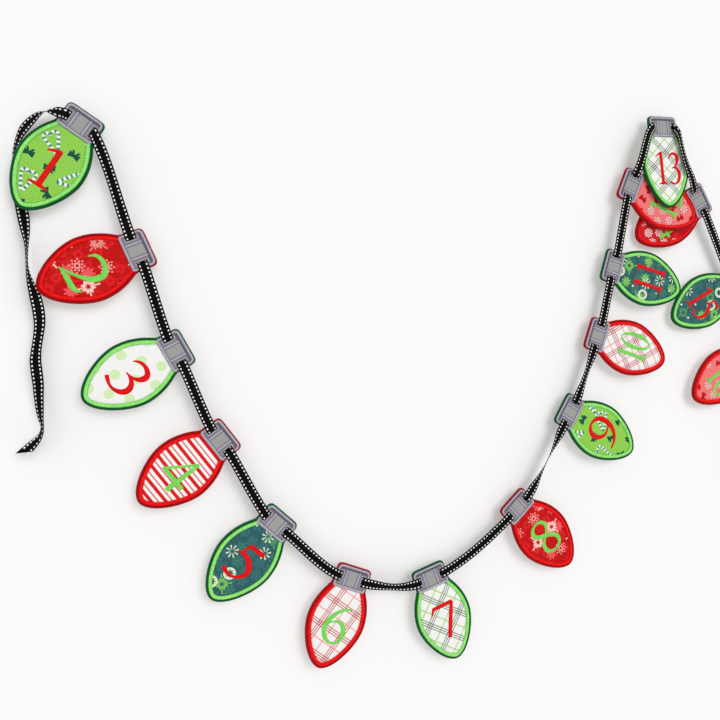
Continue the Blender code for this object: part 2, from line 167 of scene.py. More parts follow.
# The cap. A box is a half width, a top, a foot, and the radii of its upper and lower corners
CAP_FACE = CAP_FRONT + 0.0001
FABRIC_BOX = (0.0156, -0.0104, 0.0096, 0.003, 0.0012)
FABRIC_GRID = 0.0012
PANEL_HALVES = (0.0046, 0.0072)
PANEL_EASE = 0.0012
PANEL_RISE = 0.0002
PANEL_WAVE = 0.00006
PANEL_WAVE_PITCH = 0.004
FRAME_BOX = (0.0151, -0.01, 0.0089, 0.0029, 0.0009)
FRAME_STEP = 0.0008
FRAME_WIDTH = 0.0024
FRAME_FOOT_EXTRA = 0.0004
FRAME_FOOT = 0.007
FRAME_FOOT_REACH = 0.0015
BAR_PLACE = 0.0062
BAR_ENDS_MM = (-7.2, 7.4)
BAR_STEPS = 20
BAR_WIDTH = 0.0019
CAP_SATIN_RISE = 0.0005
CAP_SATIN_WANDER = 0.0001
SLIT_RING_MARGIN = 0.0006
SLIT_RING_WIDTH = 0.0009
SLIT_RING_RISE = 0.00028

# The ribbon's weave and saddle stitches
RIBBON_STEP = 0.0012
RIBBON_COLUMNS = 9
STITCH_PITCH = 0.00345
STITCH_LONG = 0.0018
STITCH_WIDE = 0.00145
STITCH_LIFT = 0.00014
STITCH_SUNK = 0.00008
STITCH_OUT = 0.003
STITCH_PROFILE_shares = ((-1, 0), (-0.7, 0.85), (0, 1), (0.7, 0.85), (1, 0))
STITCH_SECTION_shares = ((-1, 0), (-0.55, 1), (0.55, 1), (1, 0))
STITCH_END_share = 0.7
STITCH_ALONG = (0, 0.0005, 0.001, 0.0015, 0.002)
STITCH_ACROSS = (-0.0006, -0.0003, 0.0003, 0.0006)

# Numerals 27 to 62 mm below the slits: strokes of (across, down, width)
DIGITS = {
    0: [[(0.5, 27.2, 1.6), (-5.5, 29.6, 2.6), (-10.4, 37, 5), (-10.6, 48, 5.2), (-6.6, 58.6, 3),
         (-0.5, 62.1, 1.6), (5.5, 59.8, 2.8), (10.4, 52, 5.4), (10.6, 41, 5.2), (6.6, 30.8, 3),
         (0.5, 27.2, 1.6)]],
    1: [[(-6.2, 32, 1.2), (-2.5, 30, 2.4), (4.4, 27.8, 3.6)],
        [(3.2, 27.2, 4.6), (3.4, 38, 4.8), (3.7, 50, 4.8), (3.9, 61, 5)],
        [(-5, 62, 1.3), (0, 61.3, 2.6), (4, 60.8, 3.6), (8, 61.1, 2.7), (12.5, 61.6, 1.3)]],
    2: [[(-10.3, 38.8, 1), (-8.5, 32.6, 2.8), (-3, 29.5, 3.8), (3, 29.5, 4), (8.5, 32.2, 5),
         (10.1, 37.5, 5.5), (8.3, 45, 4.6), (3.7, 51, 3.2), (-1.8, 56.5, 2.4), (-9.2, 62.6, 1.8)],
        [(-11, 63.4, 0.8), (-5, 62.2, 3), (0, 61.4, 4.4), (9, 60.6, 4.6), (13.2, 58.7, 3),
         (15.6, 55.4, 0.8)]],
    3: [[(-9.2, 34.6, 1.2), (-6, 30.5, 2.6), (-1, 28.5, 3.4), (4, 28.8, 4.4), (7.9, 31.2, 5.2),
         (8.4, 35.2, 5.4), (6.3, 39.6, 3.6), (2, 42.8, 2.2), (-3.5, 44.4, 1.2)],
        [(-0.5, 43.8, 1.6), (5, 44.4, 3.6), (9, 47.2, 5), (10.7, 51.4, 5.5), (8.9, 56.6, 4.6),
         (4, 60.3, 3), (-1, 61.4, 2.4), (-6, 60.4, 3.4), (-9.6, 59.2, 3.4)]],
    4: [[(6, 27.6, 2.2), (-2, 39.5, 2.4), (-9.6, 50.4, 2.4)],
        [(6.4, 27.2, 2), (6, 38, 3.8), (5.8, 49, 4.2), (5.9, 62.6, 4.6)],
        [(-12, 51.8, 3.2), (0, 51.8, 4), (13.8, 51.8, 4)]],
    5: [[(-3.8, 29.2, 4), (3, 29.1, 4.4), (9, 29, 4.2), (11.4, 28.6, 3)],
        [(-3.9, 28.5, 2.6), (-5.4, 33, 2.4), (-7, 38.2, 2)],
        [(-11.3, 39.8, 0.8), (-5, 38.3, 3.6), (0, 39.1, 4.5), (5, 42.3, 5.5), (8.4, 47, 5.5),
         (8.8, 52, 4.5), (6, 56.6, 3.2), (1, 59.6, 2.6), (-4, 60.3, 3), (-9, 58.9, 4),
         (-12, 57.6, 3.2)]],
    6: [[(11.7, 27.4, 1), (6, 28.3, 2.2), (1, 31, 3), (-4, 36, 4), (-7.9, 43, 4.8), (-8.9, 50, 4.8),
         (-6.5, 56.5, 4.2), (-1.5, 60.8, 3), (3, 61.5, 2.2), (8, 58.6, 3.2), (10, 53, 4.6),
         (9.5, 47.5, 4.8), (6.5, 43, 4), (1.5, 41, 2.6), (-2, 41.8, 1.8), (-6, 44.2, 1.2)]],
    7: [[(-12.2, 37.4, 1), (-9.7, 33.4, 2.2), (-8, 30.6, 3.2)],
        [(-8.8, 30.4, 3.6), (2, 30.3, 4), (12.6, 30.2, 3.8)],
        [(12, 30.4, 3), (8, 40.2, 4), (3.8, 51, 4.2), (-0.8, 63.4, 3.8)]],
    8: [[(0.5, 27.5, 2.4), (-5, 28.9, 3.2), (-8.6, 33, 4.4), (-7.4, 38, 4.4), (-2.4, 42, 4.2),
         (3.2, 45.6, 4.2), (7.9, 50.2, 4.4), (9.3, 55.4, 4.2), (6.6, 60, 3.2), (0.6, 61.8, 2.4),
         (-5.6, 60.2, 3.4), (-8.9, 55.5, 4.4), (-7.4, 49.6, 3.8), (-3, 45.6, 2.4), (2, 42.2, 1.8),
         (6, 39, 2.8), (8.2, 34.6, 4.2), (5.8, 29.4, 3.4), (0.5, 27.5, 2.4)]],
    9: [[(9.4, 45.6, 1.2), (6, 47.3, 2), (1, 47.9, 2.6), (-3.7, 46, 3.8), (-7.4, 41, 5), (-7.9, 35, 5.4),
         (-4.5, 29.8, 4), (1, 27.7, 2.6), (7.8, 30, 4), (11.3, 35.5, 5.4), (12, 42, 5.6),
         (10.3, 49.5, 5), (6.4, 55.5, 4.2), (0.5, 59.8, 3), (-5, 61.3, 2.4), (-9.8, 61.4, 1.6)]],
}
PAIR_SCALE = 0.6
PAIR_STROKE_SCALE = 0.78
PAIR_SHIFTS = (-8.3, 8.5)
LONE_SHIFTS = {1: (-2.3, 1.5)}

# Each bulb's print
PRINTS = (
    "canes flakes dots stripes frost tartan lattice flakes canes net frost sweets lattice "
    "roses frost sweets dots stripes canes flakes lattice tartan frost sweets dots"
).split()

# Room, light and camera
WALL_BEHIND = 0.0112
WALL_TOP = 1.4
FLOOR_DROP = 1.1
FLOOR_FRONT = -3.0
ROOM_HALF = 4
SWEEP = 0.3
SWEEP_STEPS = 8
WORLD_STRENGTH = 0.76
SUN_ENERGY = 0.95
SUN_ANGLE_DEG = 38
SUN_WAY = (-0.34, 0.88, -0.36)
CAMERA_SPOT = (-0.5098, -0.6035, -0.1988)
CAMERA_RIGHT = (0.9641, -0.2541, -0.0777)
CAMERA_UP = (0.0835, 0.0122, 0.9964)
CAMERA_LENS = 33.0
CAMERA_SENSOR = 36.0


# Lines and outlines


def bezier(handles, t):
    """A point on a cubic curve."""
    s = 1 - t
    mix = (s**3, 3 * s * s * t, 3 * s * t * t, t**3)
    return sum((Vector(p) * w for p, w in zip(handles, mix)), Vector([0] * len(handles[0])))


def smooth_point(route, position):
    """A point on the smooth curve through a route's points, and the way along it."""
    index = min(int(position), len(route) - 2)
    t = position - index
    before = route[max(index - 1, 0)]
    after = route[min(index + 2, len(route) - 1)]
    spot, way = [], []
    for a, b, c, d in zip(before, route[index], route[index + 1], after):
        slope, reach = (c - a) / 2, (d - b) / 2
        rise = c - b
        square = 3 * rise - 2 * slope - reach
        cube = slope + reach - 2 * rise
        spot.append(b + slope * t + square * t * t + cube * t**3)
        way.append(slope + 2 * square * t + 3 * cube * t * t)
    return spot, way


def corner(centre, radius, first, last, steps):
    """An arc's points, with angles in degrees from across towards down."""
    angles = [math.radians(first + (last - first) * i / steps) for i in range(steps + 1)]
    return [Vector((centre[0] + radius * math.cos(a), centre[1] + radius * math.sin(a))) for a in angles]


def mirrored(half):
    """A closed outline from its right half, top to foot."""
    return half + [Vector((-p.x, p.y)) for p in reversed(half) if p.x > 1e-6]


def lengths_along(line, closed):
    """The length from a line's start to each of its points."""
    loop = [*line, line[0]] if closed else line
    total = [0.0]
    for a, b in zip(loop, loop[1:]):
        total.append(total[-1] + (b - a).length)
    return total


def resample(line, step, closed=False):
    """Points at equal steps along a line."""
    loop = [*line, line[0]] if closed else line
    lengths = lengths_along(line, closed)
    count = max(round(lengths[-1] / step), 2)
    wanted = np.linspace(0, lengths[-1], count + 1)
    found = np.stack([np.interp(wanted, lengths, [p[k] for p in loop]) for k in range(len(loop[0]))], 1)
    return [Vector(p) for p in (found[:-1] if closed else found)]


def bulb_outline():
    half = corner((CAP_HALF - CAP_CORNER, CAP_CORNER - CAP_TOP), CAP_CORNER, -90, 0, 8)
    half.append(Vector(NECK))
    for handles, steps in ((SHOULDER, 24), (TAPER, 36)):
        half += [bezier(handles, step / steps) for step in range(1, steps + 1)]
    return resample(mirrored(half), OUTLINE_STEP, closed=True)


def inward(line, closed):
    """The direction square to a line at each point, towards the inside of an outline."""
    padded = [line[-1], *line, line[0]] if closed else [line[0], *line, line[-1]]
    ways = [(after - before).normalized() for before, after in zip(padded, padded[2:])]
    return [Vector((-way.y, way.x)) for way in ways]


def eased(line):
    """A closed outline with its sharp turns eased."""
    for _ in range(2):
        line = [(line[i - 1] + p * 2 + line[(i + 1) % len(line)]) / 4 for i, p in enumerate(line)]
    return line


def moved_in(line, distance):
    """A closed outline moved inwards and eased."""
    moved = [p + n * distance for p, n in zip(line, inward(line, True))]
    return resample(eased(moved), OUTLINE_STEP, closed=True)


def rounded_box(half_width, top, foot, radius, foot_radius):
    half = corner((half_width - radius, top + radius), radius, -90, 0, 5)
    half += corner((half_width - foot_radius, foot - foot_radius), foot_radius, 0, 90, 3)
    return mirrored(half)


def slit_outline(side, margin=0.0):
    near, far = SLIT_NEAR - margin, SLIT_FAR + margin
    middle, half = side * (near + far) / 2, (far - near) / 2
    end = SLIT_HALF_LENGTH + margin
    return [Vector((middle + half * a, end * b)) for a, b in ((-1, -1), (1, -1), (1, 1), (-1, 1))]


def is_inside(point, outline):
    """Whether a point is within a closed outline."""
    x, y = point[0], point[1]
    inside = False
    for i, p in enumerate(outline):
        q = outline[i - 1]
        if (p.y > y) != (q.y > y) and x < (q.x - p.x) * (y - p.y) / (q.y - p.y) + p.x:
            inside = not inside
    return inside


OUTLINE = bulb_outline()


# Surfaces, as their depth at points across and down


def smooth(value):
    """From 0 to 1 with an easy start and end."""
    t = np.clip(value, 0, 1)
    return t * t * (3 - 2 * t)


def edge_distance(points):
    """How far inside the bulb's outline each point is."""
    start = np.array([(p.x, p.y) for p in OUTLINE])
    spots = np.asarray(points, float).reshape(-1, 1, 2)
    way = np.roll(start, -1, 0) - start
    share = np.clip(((spots - start) * way).sum(-1) / (way * way).sum(-1), 0, 1)
    nearest = start + share[..., None] * way
    return np.sqrt(((spots - nearest) ** 2).sum(-1)).min(1)


def waves(spots, pitch, seed):
    """Soft random waves from -1 to 1."""
    return np.array([noise.noise(Vector((x / pitch, y / pitch, seed))) for x, y in spots])


def pad_front(points):
    """The printed face: puffed inside the border, flat below the cap."""
    spots = np.asarray(points, float).reshape(-1, 2)
    inside = edge_distance(spots)
    below_cap = smooth((spots[:, 1] - CAP_ZONE) / CAP_ZONE_REACH)
    puff = PUFF_RISE * smooth((inside - PUFF_FROM) / PUFF_REACH)
    puff += CROWN_RISE * smooth(inside / CROWN_REACH)
    near_border = np.exp(-(((inside - PUCKER_MIDDLE) / PUCKER_SPREAD) ** 2))
    ripple = PUCKER_DEPTH * (near_border + PUCKER_REST_share) * waves(spots, PUCKER_PITCH, 0.3)
    ripple += DENT_DEPTH * waves(spots, DENT_PITCH, 4.1)
    return -PUFF_FRONT - below_cap * (puff + ripple * smooth((inside - RIPPLE_FROM) / RIPPLE_REACH))


def cap_front(points):
    """The cap's face, a little puffed in the middle panel and sunk in the creases."""
    spots = np.asarray(points, float).reshape(-1, 2)
    across, down = smooth((PANEL_HALVES - np.abs(spots)) / PANEL_EASE).T
    return CAP_FACE - across * down * (PANEL_RISE + PANEL_WAVE * waves(spots, PANEL_WAVE_PITCH, 7.7))


def flat(depth):
    """A surface at one depth."""
    return lambda points: np.full(len(points), depth)


# Meshes


def finish_mesh(bm, name, sharp_deg=80):
    bmesh.ops.recalc_face_normals(bm, faces=bm.faces)
    mesh = bpy.data.meshes.new(name)
    bm.to_mesh(mesh)
    bm.free()
    mesh.shade_smooth()
    mesh.set_sharp_from_angle(angle=math.radians(sharp_deg))
    return mesh


def local(point, depth):
    """A point across and down at a depth, in a bulb's own frame."""
    return Vector((point[0], depth, -point[1]))


def plate(bm, outline, grid, front, back, slots=(0, 1)):
    """A flat piece with the two slits, finely divided inside so that its faces can puff."""
    holes = [slit_outline(side) for side in (1, -1)]
    spots, edges = [], []
    for loop in [outline] + holes:
        first = len(spots)
        spots += [Vector(p) for p in loop]
        edges += [(first + i, first + (i + 1) % len(loop)) for i in range(len(loop))]
    rim = np.array([(p.x, p.y) for p in spots])
    low, high = rim.min(0), rim.max(0)
    row, y = 0, low[1]
    while y < high[1]:
        x = low[0] + grid * (row % 2) / 2
        while x < high[0]:
            if is_inside((x, y), outline) and not any(is_inside((x, y), h) for h in holes):
                if ((rim - (x, y)) ** 2).sum(1).min() > (GRID_CLEAR_share * grid) ** 2:
                    spots.append(Vector((x, y)))
            x += grid
        y += grid * GRID_ROW_share
        row += 1
    found, _, faces, _, _, _ = delaunay_2d_cdt(spots, edges, [], 1, 1e-7)
    flat_points = [(p.x, p.y) for p in found]
    fronts = [bm.verts.new(local(p, d)) for p, d in zip(flat_points, front(flat_points))]
    backs = [bm.verts.new(local(p, d)) for p, d in zip(flat_points, back(flat_points))]
    borders = {}
    for face in faces:
        middle = sum((found[i] for i in face), Vector((0, 0))) / len(face)
        if any(is_inside(middle, h) for h in holes):
            continue
        bm.faces.new([fronts[i] for i in face]).material_index = slots[0]
        bm.faces.new([backs[i] for i in reversed(face)]).material_index = slots[1]
        for a, b in zip(face, face[1:] + face[:1]):
            borders[frozenset((a, b))] = None if frozenset((a, b)) in borders else (a, b)
    for a, b in filter(None, borders.values()):
        bm.faces.new((fronts[b], fronts[a], backs[a], backs[b])).material_index = slots[1]
    bmesh.ops.delete(bm, geom=[v for v in bm.verts if not v.link_faces], context="VERTS")


def sweep(bm, rings, along, across, closed=False, slot=0):
    """Faces between rings of vertices, with coordinates along and across the threads' path."""
    thread = bm.loops.layers.uv.verify()
    for i in range(len(rings) if closed else len(rings) - 1):
        first, second = rings[i], rings[(i + 1) % len(rings)]
        for k in range(len(across)):
            m = (k + 1) % len(across)
            face = bm.faces.new((first[k], first[m], second[m], second[k]))
            face.material_index = slot
            for loop, (a, b) in zip(face.loops, ((i, k), (i, m), (i + 1, m), (i + 1, k))):
                loop[thread].uv = (along[a], across[b])
    if not closed:
        for ring in (rings[0], rings[-1]):
            bm.faces.new(ring).material_index = slot


def band(bm, line, widths, rise, base, closed=False, slot=0, wander=0.0):
    """Satin threads laid side by side across a path, in a raised band on a surface."""
    roots = (BAND_ROOT_share, -BAND_ROOT_share)
    spots, lifts = [], []
    for i, (point, normal, width) in enumerate(zip(line, inward(line, closed), widths)):
        half = width / 2 + wander * noise.noise(Vector((i * 0.7, rise * 1e4, width * 900)))
        spots += [point + normal * half * share for share, _ in BAND_SECTION_shares]
        spots += [point + normal * half * share for share in roots]
        lifts += [min(rise, width * BAND_RISE_share) * lift for _, lift in BAND_SECTION_shares]
        lifts += [-BAND_ROOT] * len(roots)
    depths = base([(p.x, p.y) for p in spots])
    verts = [bm.verts.new(local(p, d - lift)) for p, d, lift in zip(spots, depths, lifts)]
    typical = sum(widths) / len(widths) / 2
    across = [share * typical for share, _ in BAND_SECTION_shares] + [share * typical for share in roots]
    rings = [verts[i : i + len(across)] for i in range(0, len(verts), len(across))]
    sweep(bm, rings, lengths_along(line, closed), across, closed, slot)


def edge_mesh():
    """Dark satin stitching wrapped over the layers all the way round."""
    bm = bmesh.new()
    line = moved_in(OUTLINE, 0.0)
    rings = []
    for i, (point, normal) in enumerate(zip(line, inward(line, True))):
        out = EDGE_WANDER * noise.noise(Vector((i * 0.83, 2.5, 0.5)))
        spots = [(point + normal * (inside * MM + out), depth * MM) for inside, depth in EDGE_SECTION]
        rings.append([bm.verts.new(local(*spot)) for spot in spots])
    across = lengths_along([Vector(p) * MM for p in EDGE_SECTION], False)
    sweep(bm, rings, lengths_along(line, True), across, closed=True)
    return finish_mesh(bm, "bulb_edge")


def pad_mesh():
    """Quilted face and plain back in one padded piece. It keeps how far inside each point is."""
    bm = bmesh.new()
    plate(bm, moved_in(OUTLINE, PAD_INSET), PAD_GRID, pad_front, flat(BODY_BACK))
    bm.verts.index_update()
    inside = edge_distance([(v.co.x, -v.co.z) for v in bm.verts])
    place = bm.loops.layers.uv.verify()
    for face in bm.faces:
        for loop in face.loops:
            loop[place].uv = (inside[loop.vert.index], 0)
    return finish_mesh(bm, "bulb_pad", 50)


def border_mesh():
    """Bright satin band inside the edge, with its ends under the cap."""
    bm = bmesh.new()
    line = moved_in(OUTLINE, BORDER_INSET)
    start = next(i for i, p in enumerate(line) if p.x > 0 and p.y > BORDER_START)
    line = [p for p in line[start:] + line[:start] if p.y > BORDER_START]
    band(bm, line, [BORDER_WIDTH] * len(line), BORDER_RISE, pad_front, wander=BORDER_WANDER)
    return finish_mesh(bm, "bulb_border")


def stroke_line(stroke):
    """A stroke's centreline and widths in metres, and whether it is a ring."""
    ring = stroke[0] == stroke[-1]
    route = [stroke[-2], *stroke, stroke[1]] if ring else stroke
    first, last = (1, len(stroke)) if ring else (0, len(stroke) - 1)
    count = (last - first) * STROKE_FINE
    spots = [smooth_point(route, first + i / STROKE_FINE)[0] for i in range(count + 1)]
    line = resample([Vector(p) * MM for p in spots], STROKE_STEP)
    if ring:
        line.pop()
    return ring, [Vector(p[:2]) for p in line], [max(p[2], STROKE_THINNEST) for p in line]


def numeral_mesh(number):
    """A number in raised satin strokes on the puffed face."""
    bm = bmesh.new()
    pair = number > 9
    wide, thick = (PAIR_SCALE, PAIR_STROKE_SCALE) if pair else (1, 1)
    for place, digit in enumerate(str(number)):
        right, lower = (PAIR_SHIFTS[place], 0) if pair else LONE_SHIFTS.get(number, (0, 0))
        for order, stroke in enumerate(DIGITS[int(digit)]):
            moved = [(x * wide + right, y + lower, w * thick) for x, y, w in stroke]
            ring, line, widths = stroke_line(moved)
            band(bm, line, widths, NUMERAL_RISE + order * NUMERAL_LAYER, pad_front, closed=ring)
    return finish_mesh(bm, f"numeral_{number:02d}")


def cap_fabric_mesh():
    """Grey fabric of the cap."""
    bm = bmesh.new()
    outline = resample(rounded_box(*FABRIC_BOX), FABRIC_GRID, closed=True)
    plate(bm, outline, FABRIC_GRID, cap_front, flat(CAP_BACK), slots=(0, 0))
    return finish_mesh(bm, "cap_fabric", 50)


def cap_satin_mesh():
    """Satin frame round the cap, two columns across it and stitching round the slits."""
    bm = bmesh.new()
    face = flat(CAP_FACE)
    line = resample(rounded_box(*FRAME_BOX), FRAME_STEP, closed=True)
    foot = [float(smooth((p.y - FRAME_FOOT) / FRAME_FOOT_REACH)) for p in line]
    widths = [FRAME_WIDTH + FRAME_FOOT_EXTRA * near for near in foot]
    band(bm, line, widths, CAP_SATIN_RISE, face, closed=True, wander=CAP_SATIN_WANDER)
    for side in (1, -1):
        bar = [Vector((side * BAR_PLACE, y * MM)) for y in np.linspace(*BAR_ENDS_MM, BAR_STEPS)]
        band(bm, bar, [BAR_WIDTH] * BAR_STEPS, CAP_SATIN_RISE, face, wander=CAP_SATIN_WANDER)
        ring = eased(resample(slit_outline(side, SLIT_RING_MARGIN), SLIT_RING_MARGIN, closed=True))
        band(bm, ring, [SLIT_RING_WIDTH] * len(ring), SLIT_RING_RISE, face, closed=True, slot=1)
    return finish_mesh(bm, "cap_satin")


# Ribbon: a section is its middle and the direction of its width


def bulb_places():
    """Each bulb's matrix, from its hinge and its tip in the frame."""
    places = {}
    for joint in frame["joints"]:
        number = int(joint["child"][-2:])
        spot = Vector(joint["pos_m"])
        across = -Vector(joint["axis"]).normalized()
        corners = frame["nodes"][f"bulb_{number:02d}"].data.vertices
        reach = max((v.co - spot for v in corners), key=lambda v: v.length).normalized()
        square = across.cross(reach)
        turn = math.atan2(BODY_BACK, TIP[1])
        back = reach * math.sin(turn) + square * math.cos(turn)
        up = square * math.sin(turn) - reach * math.cos(turn)
        places[number] = Matrix.Translation(spot) @ Matrix((across, back, up)).transposed().to_4x4()
    return places


PLACES = bulb_places()


def thread_sections(number, side):
    """From behind a cap out through the slit on one side."""
    place = PLACES[number]
    half = (SLIT_FAR - SLIT_NEAR) / 2
    middle = (SLIT_FAR + SLIT_NEAR) / 2
    sections = []
    for across, forward in THREAD_shares:
        depth = RIBBON_BEHIND + (RIBBON_AHEAD - RIBBON_BEHIND) * forward
        sections.append((place @ Vector((side * (middle + across * half), depth, 0)), place.col[2].xyz))
    return sections


def square_to(width, way, twist):
    """The width's direction at right angles to the way along, turned about it."""
    return Matrix.Rotation(twist, 3, way) @ (width - way * width.dot(way)).normalized()


class Strip:
    """A flat strip that follows its sections, for the ribbon and the stitches on it."""

    def __init__(self, sections):
        self.spots = [s for s, _ in sections]
        self.widths = [w for _, w in sections]
        self.lengths = lengths_along(self.spots, False)
        padded = [self.spots[0], *self.spots, self.spots[-1]]
        ways = [after - before for before, after in zip(padded, padded[2:])]
        self.faces = [way.cross(width).normalized() for way, width in zip(ways, self.widths)]

    def section(self, length):
        """The middle, width and face at a length along."""
        index = min(int(np.searchsorted(self.lengths, length)) or 1, len(self.lengths) - 1)
        low, high = self.lengths[index - 1], self.lengths[index]
        t = min(max((length - low) / (high - low), 0), 1)
        return [row[index - 1].lerp(row[index], t) for row in (self.spots, self.widths, self.faces)]

    def at(self, length, across, lift):
        """A point at a length along, a distance across and a height off the middle."""
        spot, width, face = self.section(length)
        return spot + width * across + face * lift


def span_sections(number, leave, reach):
    """Between two caps, from one slit to the next."""
    start, end = leave[0], reach[0]
    chord = end - start
    handle = chord.length * SPAN_HANDLE_share
    follow = SAG_FOLLOW_shares.get(min(number, BULB_COUNT - number), CHORD_FOLLOW_share)
    ways = [PLACES[n].col[0].xyz.lerp(chord.normalized(), follow) for n in (number, number + 1)]
    near, far = start + ways[0].normalized() * handle, end - ways[1].normalized() * handle
    twist = math.radians(SPAN_TWIST_DEG.get(number, 0))
    sections = []
    for step in range(1, SPAN_STEPS):
        t = step / SPAN_STEPS
        s = 1 - t
        inner = min(max((t - TWIST_END_share) / (1 - 2 * TWIST_END_share), 0), 1)
        spot = start * s**3 + near * 3 * s * s * t + far * 3 * s * t * t + end * t**3
        way = (near - start) * s * s + (far - near) * 2 * s * t + (end - far) * t * t
        width = square_to(leave[1].lerp(reach[1], t), way.normalized(), twist * math.sin(math.pi * inner))
        sections.append((spot, width))
    return sections


def middle_sections(number, leave, reach):
    """Between two caps along one of the routes beside the middle bulb."""
    hinge = PLACES[MIDDLE].translation
    stops = [hinge + Vector([c * MM for c in stop]) for stop in MIDDLE_ROUTES[number]]
    route = [leave[0], *stops, reach[0]]
    sections = []
    for index in range(1, len(route) - 1):
        spot, way = smooth_point(route, index)
        share = index / (len(route) - 1)
        twist = math.radians(MIDDLE_TWIST_DEG[number]) * math.sin(math.pi * share**MIDDLE_TWIST_POWER)
        width = leave[1].lerp(reach[1], share)
        sections.append((Vector(spot), square_to(width, Vector(way).normalized(), twist)))
    return sections


def tail_strip(side):
    """The free end at one side, finely divided."""
    number = 1 if side < 0 else BULB_COUNT
    x, y, z = PLACES[number].translation
    route = [(*thread_sections(number, side)[-1][0], 0.0)]
    for across, back, up, turn in TAIL_ROUTE:
        route.append((x - side * across * MM, y + back * MM, z + up * MM, turn))
    sections = []
    for i in range((len(route) - 1) * TAIL_FINE + 1):
        spot, way = smooth_point(route, i / TAIL_FINE)
        along = Vector(way[:3]).normalized()
        flat_width = along.cross(Vector((0, 1, 0))) * side
        sections.append((Vector(spot[:3]), square_to(flat_width, along, math.radians(spot[3]) * side)))
    return Strip(sections)


def tail_part(strip, start, end):
    """A free end from one length along it to another."""
    count = max(round((end - start) / RIBBON_STEP), 2)
    found = [strip.section(start + (end - start) * i / count) for i in range(count + 1)]
    return [(spot, width.normalized()) for spot, width, _ in found]


def fine_sections(sections):
    """Sections at small steps on the smooth strip through the given ones."""
    route = [(*spot, *width) for spot, width in sections]
    found = []
    for i in range(len(route) - 1):
        gap = (sections[i + 1][0] - sections[i][0]).length
        count = max(math.ceil(gap / RIBBON_STEP), 1)
        found += [smooth_point(route, i + k / count)[0] for k in range(count)]
    found.append(route[-1])
    return [(Vector(p[:3]), Vector(p[3:]).normalized()) for p in found]


def weave_strip(bm, strip, cut):
    """The woven ribbon itself. A cut slants its far end."""
    half = RIBBON_WIDTH / 2
    across = list(np.linspace(-half, half, RIBBON_COLUMNS))
    total = strip.lengths[-1]
    end_way = (strip.spots[-1] - strip.spots[-3]).normalized()
    rings = []
    for length in strip.lengths:
        near_cut = smooth((length - total + 3 * RIBBON_WIDTH) / (3 * RIBBON_WIDTH))
        ring = []
        for lift, order in ((RIBBON_THICK / 2, across), (-RIBBON_THICK / 2, across[::-1])):
            for x in order:
                slant = float(near_cut) * cut * x / half
                point = strip.at(min(max(length + min(slant, 0), 0), total), x, lift)
                ring.append(bm.verts.new(point + end_way * max(slant, 0)))
        rings.append(ring)
    sweep(bm, rings, strip.lengths, across + across[::-1])


def saddle_stitches(bm, strip):
    """White dashes of thread near both edges, out on one face and then on the other."""
    total = strip.lengths[-1]
    count = max(round(total / STITCH_PITCH), 1)
    pitch = total / count
    root = RIBBON_THICK / 2 - STITCH_SUNK
    crest = RIBBON_THICK / 2 + STITCH_LIFT
    for index in range(2 * count):
        face = 1 if index % 2 else -1
        middle = pitch * (index + 0.5) / 2
        long = min(STITCH_LONG, 2 * min(middle, total - middle))
        for side in (1, -1):
            rings = []
            for share, lift in STITCH_PROFILE_shares:
                length = middle + share * long / 2
                half = STITCH_WIDE / 2 * (STITCH_END_share if abs(share) == 1 else 1)
                ring = []
                for across, up in STITCH_SECTION_shares:
                    height = face * (root + (crest - root) * lift * up)
                    ring.append(bm.verts.new(strip.at(length, side * STITCH_OUT + across * half, height)))
                rings.append(ring)
            sweep(bm, rings, STITCH_ALONG, STITCH_ACROSS, slot=1)


def add_object(name, data):
    made = bpy.data.objects.new(name, data)
    bpy.context.collection.objects.link(made)
    return made


def ribbon_piece(name, sections, paints, cut=0.0):
    bm = bmesh.new()
    strip = Strip(sections)
    weave_strip(bm, strip, cut)
    saddle_stitches(bm, strip)
    piece = add_object(name, finish_mesh(bm, name, 60))
    for paint in (paints["ribbon"], paints["saddle"]):
        piece.data.materials.append(paint)
    return piece


def ribbon_halves(tails):
    """For each bulb, the ribbon's sections from the last span's middle to behind its cap,
    and from there to the next span's middle."""
    spans = {}
    for number in range(1, BULB_COUNT):
        route = middle_sections if number in MIDDLE_ROUTES else span_sections
        spans[number] = route(number, thread_sections(number, 1)[-1], thread_sections(number + 1, -1)[-1])
    halves = {}
    for number, place in sorted(PLACES.items()):
        behind = (place @ Vector((0, RIBBON_BEHIND, 0)), place.col[2].xyz)
        for side in (-1, 1):
            threaded = [behind] + thread_sections(number, side)
            if (number, side) in ((1, -1), (BULB_COUNT, 1)):
                beyond = tail_part(tails[side], 0.0, TAIL_STUB)[1:]
                halves[number, side] = fine_sections(threaded + beyond[2::3] + beyond[-1:])
                continue
            span = spans[number if side > 0 else number - 1]
            middle = span[len(span) // 2][0]
            whole = fine_sections(threaded + span[::side] + [thread_sections(number + side, -side)[-1]])
            near = min(range(len(whole)), key=lambda i: (whole[i][0] - middle).length)
            halves[number, side] = whole[: near + 1]
    return halves


# Materials


def rgb(*colour):
    """A screen colour from 0 to 255 as the linear colour that a shader takes."""
    shares = [c / 255 for c in colour]
    return tuple(c / 12.92 if c <= 0.04045 else ((c + 0.055) / 1.055) ** 2.4 for c in shares)


def worked_out(kind, swapped=False):
    """A method of Value that adds one Math node. If swapped, the value comes last in it."""

    def method(self, *others):
        return self.paint.math(kind, *((*others, self) if swapped else (self, *others)))

    return method


